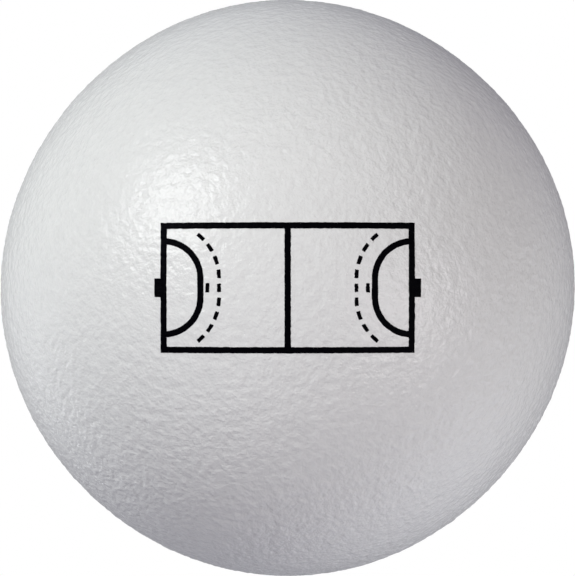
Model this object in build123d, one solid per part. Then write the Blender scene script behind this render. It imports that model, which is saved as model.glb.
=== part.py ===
from build123d import *
import math
import os

# Coated foam handball, built up as the real one is: a foam ball, a sealing coat that
# closes the foam's open cells, a tough grained skin sprayed over it, and a print in ink.
# The layers are bonded to each other, so each one starts where the one below it ends.
# The print is a plain plan of a handball court. Sizes are in millimetres. The origin is
# the ball's centre, +Z is up and the print faces -Y.

# The ball and its layers
BALL_DIAMETER = 160.0
SKIN_THICKNESS = 0.8
SEAL_COAT_THICKNESS = 0.3
INK_THICKNESS = 0.05

# The printed court, with its length along X and its width along Z
COURT_LENGTH = 64.0
COURT_WIDTH = 32.0
GOAL_WIDTH = 4.8
GOAL_DEPTH = 1.6
GOAL_AREA_RADIUS = 9.6
FREE_THROW_RADIUS = 14.4
PENALTY_DISTANCE = 11.4
PENALTY_LENGTH = 2.4

# The strokes of the print
LINE_WIDTH = 1.6
THIN_LINE_WIDTH = 1.0
DASH_LENGTH = 2.2
DASH_PITCH = 3.6

# Worked out from the sizes above
SKIN_RADIUS = BALL_DIAMETER / 2
SEAL_COAT_RADIUS = SKIN_RADIUS - SKIN_THICKNESS
FOAM_RADIUS = SEAL_COAT_RADIUS - SEAL_COAT_THICKNESS
INK_RADIUS = SKIN_RADIUS + INK_THICKNESS
GOAL_LINE_X = COURT_LENGTH / 2
GOAL_HALF = GOAL_WIDTH / 2


def layer(outer_radius, inner_radius):
    """Closed coat of even thickness round the ball's centre."""
    return Sphere(outer_radius) - Sphere(inner_radius)


def goal_area(radius):
    """All points within one distance of a goal mouth that lies on the Y axis."""
    return Rot(0, 0, 90) * SlotCenterToCenter(GOAL_WIDTH, 2 * radius)


def goal_area_line():
    """Line of even width at the goal area's edge."""
    half = LINE_WIDTH / 2
    return goal_area(GOAL_AREA_RADIUS + half) - goal_area(GOAL_AREA_RADIUS - half)


def free_throw_dash(distance):
    """One dash of the free-throw line, centred at a distance along it from its middle."""
    side = math.copysign(1, distance)
    turn = max(0.0, (abs(distance) - GOAL_HALF) / FREE_THROW_RADIUS)
    straight = min(abs(distance), GOAL_HALF)
    x = FREE_THROW_RADIUS * math.cos(turn)
    y = side * (straight + FREE_THROW_RADIUS * math.sin(turn))
    heading = side * math.degrees(turn)
    return Pos(x, y) * Rot(0, 0, heading) * Rectangle(THIN_LINE_WIDTH, DASH_LENGTH)


def free_throw_line():
    """Evenly spaced dashes, as many as fit between the side lines."""
    rise = (COURT_WIDTH / 2 - GOAL_HALF) / FREE_THROW_RADIUS
    reach = GOAL_HALF + FREE_THROW_RADIUS * math.asin(min(1.0, rise))
    each_side = math.floor((reach - LINE_WIDTH - DASH_LENGTH / 2) / DASH_PITCH)
    dashes = Sketch()
    for step in range(-each_side, each_side + 1):
        dashes += free_throw_dash(step * DASH_PITCH)
    return dashes


def court_half():
    """Markings of one half of the court, with the goal line on the Y axis and play towards +X."""
    in_play = Pos(COURT_LENGTH / 4, 0) * Rectangle(COURT_LENGTH / 2, COURT_WIDTH)
    goal = Pos(-GOAL_DEPTH / 2, 0) * Rectangle(GOAL_DEPTH + LINE_WIDTH, GOAL_WIDTH)
    penalty_mark = Pos(PENALTY_DISTANCE, 0) * Rectangle(THIN_LINE_WIDTH, PENALTY_LENGTH)
    markings = goal_area_line() + free_throw_line() + penalty_mark
    return (markings & in_play) + goal


def court_plan():
    """The whole court as one flat figure, centred on the origin."""
    outer = Rectangle(COURT_LENGTH + LINE_WIDTH, COURT_WIDTH + LINE_WIDTH)
    inner = Rectangle(COURT_LENGTH - LINE_WIDTH, COURT_WIDTH - LINE_WIDTH)
    halfway_line = Rectangle(LINE_WIDTH, COURT_WIDTH)
    left = Pos(-GOAL_LINE_X, 0) * court_half()
    right = Rot(0, 0, 180) * left
    return (outer - inner) + halfway_line + left + right


def foam_core():
    """Solid ball of soft foam."""
    return Sphere(FOAM_RADIUS)


def seal_coat():
    """Thin coat that closes the foam's cells and bonds the skin to them."""
    return layer(SEAL_COAT_RADIUS, FOAM_RADIUS)


def skin():
    """Tough outer coat, the surface that is gripped and that meets the floor."""
    return layer(SKIN_RADIUS, SEAL_COAT_RADIUS)


def court_print():
    """Ink film on the skin: the court plan carried onto the ball along Y."""
    column = extrude(Plane.XZ * court_plan(), INK_RADIUS)
    return column & layer(INK_RADIUS, SKIN_RADIUS)


def main():
    nodes = {
        "foam_core": foam_core(),
        "seal_coat": seal_coat(),
        "skin": skin(),
        "court_print": court_print(),
    }
    os.makedirs("parts", exist_ok=True)
    for name, shape in nodes.items():
        export_step(shape, os.path.join("parts", name + ".step"))
        print(name, "solids", len(shape.solids()), "volume", round(shape.volume, 1), "mm3")


main()
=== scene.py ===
"""Looks of a coated foam handball: foam core, sealing coat, grained white skin and printed court plan.

Lengths are in metres, in the part's own frame: the origin is the ball's centre, +Z is up and the
print faces -Y. Each layer's surface is a radius worked out for a direction from the centre, so every
layer starts where the one below it ends.
"""

import math

import bpy
import numpy as np
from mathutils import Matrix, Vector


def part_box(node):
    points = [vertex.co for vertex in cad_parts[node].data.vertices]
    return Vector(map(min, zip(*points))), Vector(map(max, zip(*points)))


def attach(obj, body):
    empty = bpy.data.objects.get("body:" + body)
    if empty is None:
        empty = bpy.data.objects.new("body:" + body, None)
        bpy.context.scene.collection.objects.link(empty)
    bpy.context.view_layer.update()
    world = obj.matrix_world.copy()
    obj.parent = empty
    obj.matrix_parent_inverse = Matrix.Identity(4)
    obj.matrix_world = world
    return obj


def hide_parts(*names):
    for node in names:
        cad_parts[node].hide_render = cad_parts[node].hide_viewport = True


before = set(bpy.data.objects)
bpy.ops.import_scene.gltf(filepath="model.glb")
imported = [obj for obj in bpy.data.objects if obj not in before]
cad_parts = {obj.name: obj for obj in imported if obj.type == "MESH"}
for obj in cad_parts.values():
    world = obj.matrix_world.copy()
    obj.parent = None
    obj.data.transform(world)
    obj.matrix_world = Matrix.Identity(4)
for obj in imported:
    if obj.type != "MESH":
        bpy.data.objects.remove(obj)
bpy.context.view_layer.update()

MM = 0.001


def layer_radius(node):
    """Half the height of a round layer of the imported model."""
    low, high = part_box(node)
    return (high.z - low.z) / 2


# Layers of the ball
SKIN_RADIUS = layer_radius("skin")
COAT_RADIUS = layer_radius("seal_coat")
FOAM_RADIUS = layer_radius("foam_core")
INK_THICKNESS = 0.05 * MM
INK_SINK = 0.03 * MM

# The ball is a little out of round about Y: how many lobes, how far they swell and the first one's turn
LOBE_COUNTS = (2, 4)
LOBE_REACH = np.array([0.20, 0.31]) * MM
LOBE_TURNS = np.radians([66, 4])

# Squares along each side of the six patches that cover a ball
SKIN_STEPS = 256
SKIN_INSIDE_STEPS = 48
COAT_STEPS = 90
FOAM_STEPS = 126

# Gap left round each patch's tile of the map, as a share of the tile, and the map's share for each
# layer's outside
MAP_MARGIN = 0.01
SKIN_MAP_SHARE = 0.85
COAT_MAP_SHARE = 0.5

# Grain of the skin: the size of its swells, how steep each size is, and how much steeper it is low down
SWELL_SIZES = np.array([7.0, 3.0, 1.4]) * MM
SWELL_STEEPNESS = np.array([0.012, 0.056, 0.184])
GRAIN_DROOP = 0.25
FINE_GRAIN_SIZE = 0.72 * MM
FINE_GRAIN_DEPTH = 0.185 * MM
# How far above or below the plain skin the painted shade in pits and painted light on crests reach full
# strength
PIT_SHADE_REACH = 0.2 * MM

# Open cells of the foam, the share of a cell's size that its bowl reaches, and the coat's dips over them
FOAM_CELL_SIZE = 2.6 * MM
FOAM_CELL_DEPTH = 0.55 * MM
FOAM_BOWL_REACH = 0.55
COAT_DIP_DEPTH = 0.05 * MM

# The printed court, with its length along X and its width along Z
COURT_LENGTH = 64 * MM
COURT_WIDTH = 32 * MM
GOAL_WIDTH = 4.8 * MM
GOAL_DEPTH = 1.6 * MM
GOAL_AREA_RADIUS = 9.6 * MM
FREE_THROW_RADIUS = 14.4 * MM
PENALTY_DISTANCE = 11.4 * MM
PENALTY_LENGTH = 2.4 * MM
LINE_WIDTH = 1.6 * MM
THIN_LINE_WIDTH = 1.0 * MM
DASH_LENGTH = 2.2 * MM
DASH_PITCH = 3.6 * MM
DASHES_EACH_SIDE = 4

# Edge of the ink, which creeps into the grain
PRINT_STEP = 0.2 * MM
EDGE_NUDGE = PRINT_STEP / 20
EDGE_PASSES = 2
LEAST_SLOPE_SQUARED = 0.25
CREEP_SIZES = np.array([1.3, 0.55]) * MM
CREEP_REACH = np.array([0.10, 0.07]) * MM

# Skin's finish: its colour as painted shade in the grain's pits and painted light on its crests, and the
# fine ripples' share in telling them apart
SKIN_COLOURS_WITH_PAINTED_SHADE = ((0.745, 0.757, 0.732), (0.855, 0.867, 0.840))
PAINTED_SHADE_RIPPLE_SHARE = 0.6
SKIN_DRIFT_SIZE = 30 * MM
SKIN_ROUGHNESS = (0.22, 0.26)
SKIN_SPECULAR = 0.32

# Ink's finish
INK_COLOURS = ((0.0004, 0.0004, 0.0012), (0.0012, 0.0012, 0.0024))
INK_DRIFT_SIZE = 8 * MM
INK_ROUGHNESS = (0.45, 0.6)
INK_SPECULAR = 0.02

# Sealing coat's finish
COAT_COLOURS = ((0.80, 0.77, 0.67), (0.84, 0.81, 0.73))
COAT_DRIFT_SIZE = 12 * MM
COAT_ROUGHNESS = (0.45, 0.6)
COAT_GRAIN_SIZE = 1.2 * MM
COAT_GRAIN_DEPTH = 0.05 * MM

# Foam's finish, with fine cells between the large ones
FOAM_COLOURS = ((0.82, 0.76, 0.60), (0.87, 0.83, 0.70))
FOAM_DRIFT_SIZE = 20 * MM
FOAM_ROUGHNESS = 0.95
FINE_CELL_SIZE = 0.9 * MM
FINE_CELL_DEPTH = 0.3 * MM

# The photograph's frame, with the ball's outline in it
PHOTO_WIDTH = 575
PHOTO_HEIGHT = 576
BALL_CENTRE_PX = (287.7, 287.8)
BALL_RADIUS_PX = 286.2
CAMERA_LENS_MM = 200
CAMERA_SENSOR_MM = 36

# The studio
BOUNCE_DISTANCE = 1.4
BOUNCE_SIDE = 0.7
ROOM_GLOW = (0.108, 0.101, 0.115)
ROOM_WHITE = (1, 1, 1)

# Random slopes and cell centres on a lattice, for the grain and the foam's cells
LATTICE = 64
LATTICE_SEED = 160
draws = np.random.default_rng(LATTICE_SEED)
SLOPES = draws.normal(size=(LATTICE, LATTICE, LATTICE, 3))
SLOPES /= np.linalg.norm(SLOPES, axis=-1, keepdims=True)
CELL_CENTRES = draws.random((LATTICE, LATTICE, LATTICE, 3))


def at_lattice(table, cells):
    """Rows of a random table for whole-number lattice cells; the table repeats past its ends."""
    return table[tuple((cells % LATTICE).T)]


def swell(points):
    """Smooth random height, about nought, for points in lattice units.

    Each corner of a point's lattice cell has a random slope. The heights that the eight slopes give at
    the point are mixed by a weight that eases from one to nought across the cell.
    """
    cells = np.floor(points).astype(int)
    inside = points - cells
    ease = inside**3 * (inside * (inside * 6 - 15) + 10)
    height = np.zeros(len(points))
    for corner in np.ndindex(2, 2, 2):
        weight = np.prod(np.where(corner, ease, 1 - ease), axis=1)
        slope = at_lattice(SLOPES, cells + corner)
        height += weight * np.sum(slope * (inside - corner), axis=1)
    return height


def cell_distance(points):
    """Distance from each point to the nearest cell centre, in lattice units.

    One centre lies at a random place in each lattice cell, and the 27 cells round a point are searched.
    """
    cells = np.floor(points).astype(int)
    nearest = np.full(len(points), np.inf)
    for step in np.ndindex(3, 3, 3):
        neighbours = cells + np.array(step) - 1
        centres = neighbours + at_lattice(CELL_CENTRES, neighbours)
        nearest = np.minimum(nearest, np.linalg.norm(points - centres, axis=1))
    return nearest


def skin_relief(directions):
    """Height of the skin's grain over the plain ball: swells of several sizes added up.

    The skin ran smoother near the top than near the bottom, so the sum is eased off with the height.
    """
    at = directions * SKIN_RADIUS
    height = np.zeros(len(at))
    for size, steepness in zip(SWELL_SIZES, SWELL_STEEPNESS):
        height += steepness * size * swell(at / size)
    return height * (1 - GRAIN_DROOP * directions[:, 2])


def skin_body(directions):
    """Radius of the skin's outside without its grain: the plain ball and its slight lobes.

    A lobe swells by the cosine of its count times the angle about Y, and fades towards Y by the distance
    from that axis, raised to the count.
    """
    angle = np.arctan2(directions[:, 2], directions[:, 0])
    from_axis = np.hypot(directions[:, 0], directions[:, 2])
    radius = np.full(len(directions), SKIN_RADIUS)
    for count, reach, turn in zip(LOBE_COUNTS, LOBE_REACH, LOBE_TURNS):
        radius += reach * from_axis**count * np.cos(count * (angle - turn))
    return radius


def skin_surface(directions):
    """Radius of the skin's outside: its body and the grain."""
    return skin_body(directions) + skin_relief(directions)


def foam_pits(directions):
    """From nought on the foam's face to one in the middle of an open cell: a round bowl in each cell."""
    distance = cell_distance(directions * FOAM_RADIUS / FOAM_CELL_SIZE)
    return np.clip(1 - (distance / FOAM_BOWL_REACH) ** 2, 0, 1)


def foam_surface(directions):
    """Radius of the foam's outside: the plain ball with its open cells sunk in."""
    return FOAM_RADIUS - FOAM_CELL_DEPTH * foam_pits(directions)


def coat_surface(directions):
    """Radius of the coat's outside: it fills the foam's cells and leaves a shallow dip over each."""
    return COAT_RADIUS - COAT_DIP_DEPTH * foam_pits(directions)


def ball_grid(steps):
    """Directions, squares and map places of a grid that covers a ball.

    The grid lies on the six sides of a cube, as whole-number places from nought to steps along X, Y
    and Z. A place's three coordinates are the tangents of even angles from -45 to 45 degrees, and the
    direction is that point of the cube pulled onto the ball, so the squares come out nearly even. The
    sides' shared points are merged by their places. Each side has its own tile of the map, three across
    and two up, with a margin round it.
    """
    span = np.arange(steps + 1)
    across, up = np.meshgrid(span, span, indexing="ij")
    tile = MAP_MARGIN + (1 - 2 * MAP_MARGIN) * np.stack([across, up], axis=-1) / steps
    places = []
    tiles = []
    for side in range(6):
        axis, far = side % 3, side // 3
        place = np.empty((steps + 1, steps + 1, 3), int)
        place[..., axis] = far * steps
        place[..., (axis + 1) % 3] = across
        place[..., (axis + 2) % 3] = up if far else steps - up
        places.append(place)
        tiles.append((tile + (axis, far)) / (3, 2))
    places = np.array(places).reshape(-1, 3)
    keys = places @ ((steps + 1) ** 2, steps + 1, 1)
    _, first, merged = np.unique(keys, return_index=True, return_inverse=True)
    cube = np.tan((places[first] / steps - 0.5) * math.pi / 2)
    directions = cube / np.linalg.norm(cube, axis=1, keepdims=True)
    corner = np.arange(6 * (steps + 1) ** 2).reshape(6, steps + 1, steps + 1)
    loop = [corner[:, :-1, :-1], corner[:, 1:, :-1], corner[:, 1:, 1:], corner[:, :-1, 1:]]
    corners = np.stack(loop, axis=-1).reshape(-1, 4)
    return directions, merged.ravel()[corners], np.array(tiles).reshape(-1, 2)[corners]


def put_in_mesh(name, points, faces):
    """New object with a mesh of these points and faces; faces are arrays with one row for each face."""
    mesh = bpy.data.meshes.new(name)
    sides = np.concatenate([np.full(len(rows), rows.shape[1]) for rows in faces])
    corners = np.concatenate([rows.ravel() for rows in faces])
    mesh.vertices.add(len(points))
    mesh.vertices.foreach_set("co", points.astype(np.float32).ravel())
    mesh.loops.add(len(corners))
    mesh.loops.foreach_set("vertex_index", corners.astype(np.int32))
    mesh.polygons.add(len(sides))
    mesh.polygons.foreach_set("loop_start", (np.cumsum(sides) - sides).astype(np.int32))
    mesh.update(calc_edges=True)
    mesh.validate()
    mesh.shade_smooth()
    piece = bpy.data.objects.new(name, mesh)
    bpy.context.scene.collection.objects.link(piece)
    return piece


def layer_piece(name, surfaces):
    """A layer of the ball from its surfaces, given as (steps, radius of a direction, share of the map).

    The first surface is the layer's outside. A second one is its inside, with its faces turned round.
    """
    points, faces, places = [], [], []
    bottom = 0.0
    for turn, (steps, radius_of, share) in enumerate(surfaces):
        directions, squares, tiles = ball_grid(steps)
        start = sum(len(rows) for rows in points)
        order = slice(None, None, -1) if turn else slice(None)
        points.append(directions * radius_of(directions)[:, None])
        faces.append(squares[:, order] + start)
        places.append(tiles[:, order] * (1, share) + (0, bottom))
        bottom += share
    piece = put_in_mesh(name, np.concatenate(points), faces)
    places = np.concatenate(places)
    piece.data.uv_layers.new(name="OFBake").data.foreach_set("uv", places.astype(np.float32).ravel())
    return piece


def mark_pits_for_painted_shade(piece):
    """Gives each skin point its grain height, nought in deep pits to one on crests, for painted shade and
    light.
    """
    points = np.empty(3 * len(piece.data.vertices), np.float32)
    piece.data.vertices.foreach_get("co", points)
    points = points.reshape(-1, 3)
    radius = np.linalg.norm(points, axis=1)
    above = radius - skin_body(points / radius[:, None])
    height = np.clip(0.5 + above / (2 * PIT_SHADE_REACH), 0, 1)
    heights = piece.data.attributes.new("height", "FLOAT", "POINT")
    heights.data.foreach_set("value", height.astype(np.float32))


def box_distance(x, z, half_x, half_z):
    """Distance to the edge of a box about the origin, below nought inside it."""
    past_x = np.abs(x) - half_x
    past_z = np.abs(z) - half_z
    outside = np.hypot(np.maximum(past_x, 0), np.maximum(past_z, 0))
    return outside + np.minimum(np.maximum(past_x, past_z), 0)


def court_distance(x, z):
    """Distance to the nearest edge of the court plan's strokes, below nought in the ink.

    Each stroke is a band or box. Both halves are alike, so the half's strokes are set out from its own
    goal line. The goal area's line and the dashes lie at even distances from the goal mouth.
    """
    half_line = LINE_WIDTH / 2
    half_thin = THIN_LINE_WIDTH / 2
    court = box_distance(x, z, COURT_LENGTH / 2, COURT_WIDTH / 2)
    outer = box_distance(x, z, COURT_LENGTH / 2 + half_line, COURT_WIDTH / 2 + half_line)
    inner = box_distance(x, z, COURT_LENGTH / 2 - half_line, COURT_WIDTH / 2 - half_line)
    halfway_line = box_distance(x, z, half_line, COURT_WIDTH / 2)

    play = COURT_LENGTH / 2 - np.abs(x)
    past_post = np.maximum(np.abs(z) - GOAL_WIDTH / 2, 0)
    from_mouth = np.hypot(play, past_post)
    goal_area_line = np.maximum(np.abs(from_mouth - GOAL_AREA_RADIUS) - half_line, court)

    turn = FREE_THROW_RADIUS * np.arctan2(past_post, play)
    along = np.sign(z) * (np.minimum(np.abs(z), GOAL_WIDTH / 2) + turn)
    dash = np.clip(np.round(along / DASH_PITCH), -DASHES_EACH_SIDE, DASHES_EACH_SIDE)
    from_dash = along - dash * DASH_PITCH
    dashes = box_distance(from_mouth - FREE_THROW_RADIUS, from_dash, half_thin, DASH_LENGTH / 2)

    penalty_mark = box_distance(play - PENALTY_DISTANCE, z, half_thin, PENALTY_LENGTH / 2)
    goal = box_distance(play + GOAL_DEPTH / 2, z, GOAL_DEPTH / 2 + half_line, GOAL_WIDTH / 2)
    strokes = [np.maximum(outer, -inner), halfway_line, goal_area_line, dashes, penalty_mark, goal]
    return np.minimum.reduce(strokes)


def ink_distance(x, z):
    """Distance to the ink's real edge: the court plan's edge, pushed in and out where the ink crept."""
    distance = court_distance(x, z)
    flat = np.stack([x.ravel(), np.zeros(x.size), z.ravel()], axis=1)
    for size, reach in zip(CREEP_SIZES, CREEP_REACH):
        distance = distance + reach * swell(flat / size).reshape(x.shape)
    return distance


def court_sheet():
    """Plan places and faces of the ink: the part of an even grid that lies within the ink's edge.

    Grid points near the edge are moved onto it, down the slope of the distance to it. Squares that keep
    four points stay, and those that lose one corner become triangles.
    """
    low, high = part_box("court_print")
    margin = 2 * PRINT_STEP
    columns = np.arange(low.x - margin, high.x + margin, PRINT_STEP)
    rows = np.arange(low.z - margin, high.z + margin, PRINT_STEP)
    x, z = np.meshgrid(columns, rows, indexing="ij")
    distance = ink_distance(x, z)
    edge = np.abs(distance) < PRINT_STEP / 2
    outside = (distance > 0) & ~edge
    for _ in range(EDGE_PASSES):
        here = ink_distance(x, z)
        slope_x = (ink_distance(x + EDGE_NUDGE, z) - here) / EDGE_NUDGE
        slope_z = (ink_distance(x, z + EDGE_NUDGE) - here) / EDGE_NUDGE
        slope_squared = np.maximum(slope_x**2 + slope_z**2, LEAST_SLOPE_SQUARED)
        step = np.where(edge, here / slope_squared, 0)
        step = np.clip(step, -PRINT_STEP / 2, PRINT_STEP / 2)
        x = x - step * slope_x
        z = z - step * slope_z

    corner = np.arange(x.size).reshape(x.shape)
    loop = [corner[:-1, :-1], corner[1:, :-1], corner[1:, 1:], corner[:-1, 1:]]
    squares = np.stack(loop, axis=-1).reshape(-1, 4)
    lost = outside.ravel()[squares]
    whole = squares[lost.sum(axis=1) == 0]
    cut = lost.sum(axis=1) == 1
    after = (np.argmax(lost[cut], axis=1)[:, None] + [1, 2, 3]) % 4
    corners = np.take_along_axis(squares[cut], after, axis=1)
    plan = np.stack([x.ravel(), z.ravel()], axis=1)
    faces = []
    for kept in (whole, corners):
        middle = plan[kept].mean(axis=1)
        faces.append(kept[ink_distance(middle[:, 0], middle[:, 1]) < 0])
    used = np.unique(np.concatenate([kept.ravel() for kept in faces]))
    renumber = np.zeros(len(plan), int)
    renumber[used] = np.arange(len(used))
    return plan[used], [renumber[kept] for kept in faces]


def skin_as_meshed(directions):
    """Radius of the skin's mesh, for directions towards -Y.

    A direction's angles across and up give its place on the side of the skin's grid that faces -Y. Each
    square there is two triangles, split from its upper left to its lower right corner, and the radius is
    the even slope between the three corners of the triangle that the place lies in.
    """
    angles = np.arctan2(directions[:, [0, 2]], -directions[:, [1]])
    places = (angles / (math.pi / 2) + 0.5) * SKIN_STEPS
    cells = np.floor(places)
    across, up = (places - cells).T
    upper = across + up > 1
    shares = [np.abs(1 - across - up), np.where(upper, 1 - up, across), np.where(upper, 1 - across, up)]
    corners = [cells + upper[:, None], cells + (1, 0), cells + (0, 1)]
    radius = np.zeros(len(directions))
    for share, corner in zip(shares, corners):
        cube = np.tan((corner / SKIN_STEPS - 0.5) * math.pi / 2)
        corner_directions = np.stack([cube[:, 0], -np.ones(len(cube)), cube[:, 1]], axis=1)
        corner_directions /= np.linalg.norm(corner_directions, axis=1, keepdims=True)
        radius += share * skin_surface(corner_directions)
    return radius


def print_piece():
    """The ink film: the court's sheet carried onto the ball along Y, lying in the skin's grain."""
    plan, faces = court_sheet()
    depth = np.sqrt(SKIN_RADIUS**2 - np.sum(plan**2, axis=1))
    directions = np.stack([plan[:, 0], -depth, plan[:, 1]], axis=1) / SKIN_RADIUS
    radius = skin_as_meshed(directions) + INK_THICKNESS
    piece = put_in_mesh("court_print_ink", directions * radius[:, None], faces)
    film = piece.modifiers.new("film", "SOLIDIFY")
    film.thickness = INK_THICKNESS + INK_SINK
    film.offset = -1
    return piece


def add_node(tree, kind, values=None, **settings):
    """New node of a kind, with its settings and the values of its free inputs."""
    node = tree.nodes.new(kind)
    for name, value in settings.items():
        setattr(node, name, value)
    for name, value in (values or {}).items():
        node.inputs[name].default_value = value
    return node


def new_group(name, inputs, outputs):
    """New shader node group with number inputs and outputs, and a vector input for the place."""
    tree = bpy.data.node_groups.new(name, "ShaderNodeTree")
    tree.interface.new_socket("Place", in_out="INPUT", socket_type="NodeSocketVector")
    for socket in inputs:
        tree.interface.new_socket(socket, in_out="INPUT", socket_type="NodeSocketFloat")
    for socket in outputs:
        tree.interface.new_socket(socket, in_out="OUTPUT", socket_type="NodeSocketFloat")
    return tree, tree.nodes.new("NodeGroupInput"), tree.nodes.new("NodeGroupOutput")


def fine_grain_group():
    """Grain too fine for the mesh: ripples with finer ones on them. Height is from 0 to 1."""
    tree, given, made = new_group("fine_grain", ["Size"], ["Height"])
    per_metre = add_node(tree, "ShaderNodeMath", {0: 1.0}, operation="DIVIDE")
    ripples = add_node(tree, "ShaderNodeTexNoise", {"Detail": 1.0, "Roughness": 0.5})
    tree.links.new(given.outputs["Size"], per_metre.inputs[1])
    tree.links.new(given.outputs["Place"], ripples.inputs["Vector"])
    tree.links.new(per_metre.outputs[0], ripples.inputs["Scale"])
    tree.links.new(ripples.outputs[0], made.inputs["Height"])
    return tree


def mottle_group():
    """Slow drift over a surface, from 0 to 1: large soft patches with smaller ones in them."""
    tree, given, made = new_group("mottle", ["Size"], ["Drift"])
    per_metre = add_node(tree, "ShaderNodeMath", {0: 1.0}, operation="DIVIDE")
    patches = add_node(tree, "ShaderNodeTexNoise", {"Detail": 3.0, "Roughness": 0.6})
    tree.links.new(given.outputs["Size"], per_metre.inputs[1])
    tree.links.new(given.outputs["Place"], patches.inputs["Vector"])
    tree.links.new(per_metre.outputs[0], patches.inputs["Scale"])
    tree.links.new(patches.outputs[0], made.inputs["Drift"])
    return tree


FINE_GRAIN = fine_grain_group()
MOTTLE = mottle_group()


def new_material(name):
    """New material with its node tree, its Principled node and a node for Object coordinates."""
    material = bpy.data.materials.new(name)
    material.use_nodes = True
    tree = material.node_tree
    place = add_node(tree, "ShaderNodeTexCoord").outputs["Object"]
    return material, tree, tree.nodes["Principled BSDF"], place


def place_effect(tree, group, place, size):
    """A node group placed in a material, at its own size in metres. Returns its first output."""
    node = add_node(tree, "ShaderNodeGroup", node_tree=group)
    node.inputs["Size"].default_value = size
    tree.links.new(place, node.inputs["Place"])
    return node.outputs[0]


def spread(tree, source, low, high, socket):
    """Links a value from 0 to 1 to a socket, spread from low to high."""
    node = add_node(tree, "ShaderNodeMapRange", {"To Min": low, "To Max": high})
    tree.links.new(source, node.inputs["Value"])
    tree.links.new(node.outputs[0], socket)


def two_colours(tree, source, low, high, socket):
    """Links a value from 0 to 1 to a colour socket, as a mix of two colours."""
    node = add_node(tree, "ShaderNodeMix", data_type="RGBA")
    node.inputs["A"].default_value = (*low, 1)
    node.inputs["B"].default_value = (*high, 1)
    tree.links.new(source, node.inputs["Factor"])
    tree.links.new(node.outputs["Result"], socket)


def blend(tree, first, second, share):
    """Mix of two values by a set share of the second."""
    node = add_node(tree, "ShaderNodeMix", {"Factor": share})
    tree.links.new(first, node.inputs["A"])
    tree.links.new(second, node.inputs["B"])
    return node.outputs["Result"]


def bump(tree, height, depth, shader):
    """Bump of a depth in metres from a height that goes from 0 to 1."""
    node = add_node(tree, "ShaderNodeBump", {"Strength": 1.0, "Distance": depth})
    tree.links.new(height, node.inputs["Height"])
    tree.links.new(node.outputs["Normal"], shader.inputs["Normal"])


def drooping(tree, place, height):
    """A height of fine grain, eased off from the ball's bottom to its top as the skin's swells are."""
    axes = add_node(tree, "ShaderNodeSeparateXYZ")
    heights = {"From Min": -SKIN_RADIUS, "From Max": SKIN_RADIUS}
    shares = {"To Min": 1 + GRAIN_DROOP, "To Max": 1 - GRAIN_DROOP}
    share = add_node(tree, "ShaderNodeMapRange", heights | shares)
    eased = add_node(tree, "ShaderNodeMath", operation="MULTIPLY")
    tree.links.new(place, axes.inputs["Vector"])
    tree.links.new(axes.outputs["Z"], share.inputs["Value"])
    tree.links.new(share.outputs[0], eased.inputs[0])
    tree.links.new(height, eased.inputs[1])
    return eased.outputs[0]


def skin_finish():
    """White satin elastomer with a fine leathery grain, its colour painted darker in the pits and lighter
    on the crests as shade and light.
    """
    material, tree, shader, place = new_material("white_grained_skin")
    drift = place_effect(tree, MOTTLE, place, SKIN_DRIFT_SIZE)
    ripples = place_effect(tree, FINE_GRAIN, place, FINE_GRAIN_SIZE)
    swells = add_node(tree, "ShaderNodeAttribute", attribute_name="height").outputs["Fac"]
    # The grain's height sets painted shade in its pits and painted light on its crests
    height = blend(tree, swells, ripples, PAINTED_SHADE_RIPPLE_SHARE)
    two_colours(tree, height, *SKIN_COLOURS_WITH_PAINTED_SHADE, shader.inputs["Base Color"])
    spread(tree, drift, *SKIN_ROUGHNESS, shader.inputs["Roughness"])
    shader.inputs["Specular IOR Level"].default_value = SKIN_SPECULAR
    bump(tree, drooping(tree, place, ripples), FINE_GRAIN_DEPTH, shader)
    return material


def ink_finish():
    """Black screen ink, slightly satin, lying in the skin's grain."""
    material, tree, shader, place = new_material("black_print_ink")
    drift = place_effect(tree, MOTTLE, place, INK_DRIFT_SIZE)
    ripples = place_effect(tree, FINE_GRAIN, place, FINE_GRAIN_SIZE)
    two_colours(tree, drift, *INK_COLOURS, shader.inputs["Base Color"])
    spread(tree, drift, *INK_ROUGHNESS, shader.inputs["Roughness"])
    shader.inputs["Specular IOR Level"].default_value = INK_SPECULAR
    bump(tree, drooping(tree, place, ripples), FINE_GRAIN_DEPTH, shader)
    return material


def coat_finish():
    """Cream sealing coat with a dull shine."""
    material, tree, shader, place = new_material("cream_seal_coat")
    drift = place_effect(tree, MOTTLE, place, COAT_DRIFT_SIZE)
    grain = place_effect(tree, FINE_GRAIN, place, COAT_GRAIN_SIZE)
    two_colours(tree, drift, *COAT_COLOURS, shader.inputs["Base Color"])
    spread(tree, drift, *COAT_ROUGHNESS, shader.inputs["Roughness"])
    bump(tree, grain, COAT_GRAIN_DEPTH, shader)
    return material


def foam_finish():
    """Cream foam with fine open cells between the large ones."""
    material, tree, shader, place = new_material("cream_foam")
    drift = place_effect(tree, MOTTLE, place, FOAM_DRIFT_SIZE)
    cells = add_node(tree, "ShaderNodeTexVoronoi", {"Scale": 1 / FINE_CELL_SIZE}, feature="SMOOTH_F1")
    tree.links.new(place, cells.inputs["Vector"])
    two_colours(tree, drift, *FOAM_COLOURS, shader.inputs["Base Color"])
    shader.inputs["Roughness"].default_value = FOAM_ROUGHNESS
    bump(tree, cells.outputs["Distance"], FINE_CELL_DEPTH, shader)
    return material


def dress(piece, finish, node):
    """Gives a piece its material and its body, and hides the imported part that it stands for."""
    piece.data.materials.append(finish)
    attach(piece, "root")
    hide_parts(node)


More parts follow.
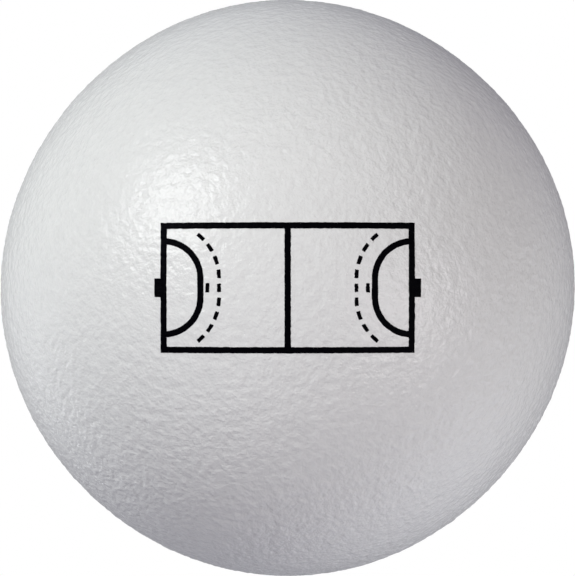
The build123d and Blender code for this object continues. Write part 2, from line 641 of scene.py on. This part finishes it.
def build_ball():
    """The four pieces of the ball, from the inside out."""
    foam = layer_piece("foam_core_cells", [(FOAM_STEPS, foam_surface, 1)])
    coat_outside = (COAT_STEPS, coat_surface, COAT_MAP_SHARE)
    coat_inside = (COAT_STEPS, foam_surface, 1 - COAT_MAP_SHARE)
    coat = layer_piece("seal_coat_film", [coat_outside, coat_inside])
    skin_outside = (SKIN_STEPS, skin_surface, SKIN_MAP_SHARE)
    skin_inside = (SKIN_INSIDE_STEPS, coat_surface, 1 - SKIN_MAP_SHARE)
    skin = layer_piece("skin_grained", [skin_outside, skin_inside])
    mark_pits_for_painted_shade(skin)
    ink = print_piece()
    dress(foam, foam_finish(), "foam_core")
    dress(coat, coat_finish(), "seal_coat")
    dress(skin, skin_finish(), "skin")
    dress(ink, ink_finish(), "court_print")


def add_camera():
    """Camera in front of the print, level with the ball's centre.

    The ball's outline is where sight lines graze it, so the distance follows from the outline's radius
    and the focal length in pixels. The shift puts the outline's centre where the photograph has it.
    """
    longest = max(PHOTO_WIDTH, PHOTO_HEIGHT)
    focal_px = CAMERA_LENS_MM / CAMERA_SENSOR_MM * longest
    distance = SKIN_RADIUS * math.hypot(1, focal_px / BALL_RADIUS_PX)
    lens = bpy.data.cameras.new("camera")
    lens.lens = CAMERA_LENS_MM
    lens.sensor_width = CAMERA_SENSOR_MM
    lens.shift_x = (PHOTO_WIDTH / 2 - BALL_CENTRE_PX[0]) / longest
    lens.shift_y = (BALL_CENTRE_PX[1] - PHOTO_HEIGHT / 2) / longest
    camera = bpy.data.objects.new("camera", lens)
    camera.location = (0, -distance, 0)
    camera.rotation_euler = (math.pi / 2, 0, 0)
    bpy.context.scene.collection.objects.link(camera)
    bpy.context.scene.camera = camera


def add_softbox(name, azimuth, elevation, distance, side, watts, tint):
    """Square light that faces the ball, by its degrees to the camera's right and above level."""
    light = bpy.data.lights.new(name, "AREA")
    light.size = side
    light.energy = watts
    light.color = tint
    lamp = bpy.data.objects.new(name, light)
    turn = math.radians(azimuth)
    rise = math.radians(elevation)
    away = np.array([math.sin(turn) * math.cos(rise), -math.cos(turn) * math.cos(rise), math.sin(rise)])
    lamp.location = away * distance
    lamp.rotation_mode = "QUATERNION"
    lamp.rotation_quaternion = lamp.location.to_track_quat("Z", "Y")
    lamp.visible_camera = False
    bpy.context.scene.collection.objects.link(lamp)
    return lamp


def add_bounce(name, azimuth, elevation, watts, tint):
    """Light off a dull wall of the room, which doesn't show in the skin's shine."""
    lamp = add_softbox(name, azimuth, elevation, BOUNCE_DISTANCE, BOUNCE_SIDE, watts, tint)
    lamp.visible_glossy = False


def add_lights():
    """White key light from the upper left, a warmer one from the right, and cool bounces off the room."""
    add_softbox("key_light", -46.5, 26.9, 0.55, 0.25, 1.81, (0.98, 1, 0.99))
    add_softbox("right_light", 46, -10, 0.8, 0.36, 2.3, (1, 0.957, 0.961))
    add_bounce("left_bounce", -130, -14, 13, (0.9, 0.92, 0.97))
    add_bounce("low_front_bounce", -30, -35, 3.9, (0.9, 0.86, 1))
    add_bounce("high_front_bounce", 30, 45, 2.15, (1, 0.94, 1))
    add_bounce("low_right_bounce", 120, -40, 7.2, (0.88, 0.91, 1))
    add_bounce("right_back_bounce", 140, 20, 1.9, (0.71, 0.71, 1))
    add_bounce("high_back_bounce", -165, 40, 7.9, (0.86, 0.92, 1))
    add_bounce("low_back_bounce", 170, -60, 1.3, (0.7, 0.73, 1))
    add_bounce("top_back_bounce", 180, 75, 2.15, (0.79, 0.76, 1))


def add_room():
    """Room round the ball: plain white where the camera sees it, and a faint cool glow on the ball."""
    world = bpy.data.worlds.new("white_room")
    world.use_nodes = True
    bpy.context.scene.world = world
    tree = world.node_tree
    seen = add_node(tree, "ShaderNodeLightPath").outputs["Is Camera Ray"]
    two_colours(tree, seen, ROOM_GLOW, ROOM_WHITE, tree.nodes["Background"].inputs["Color"])
    bpy.context.scene.view_settings.view_transform = "Standard"


build_ball()
add_camera()
add_lights()
add_room()
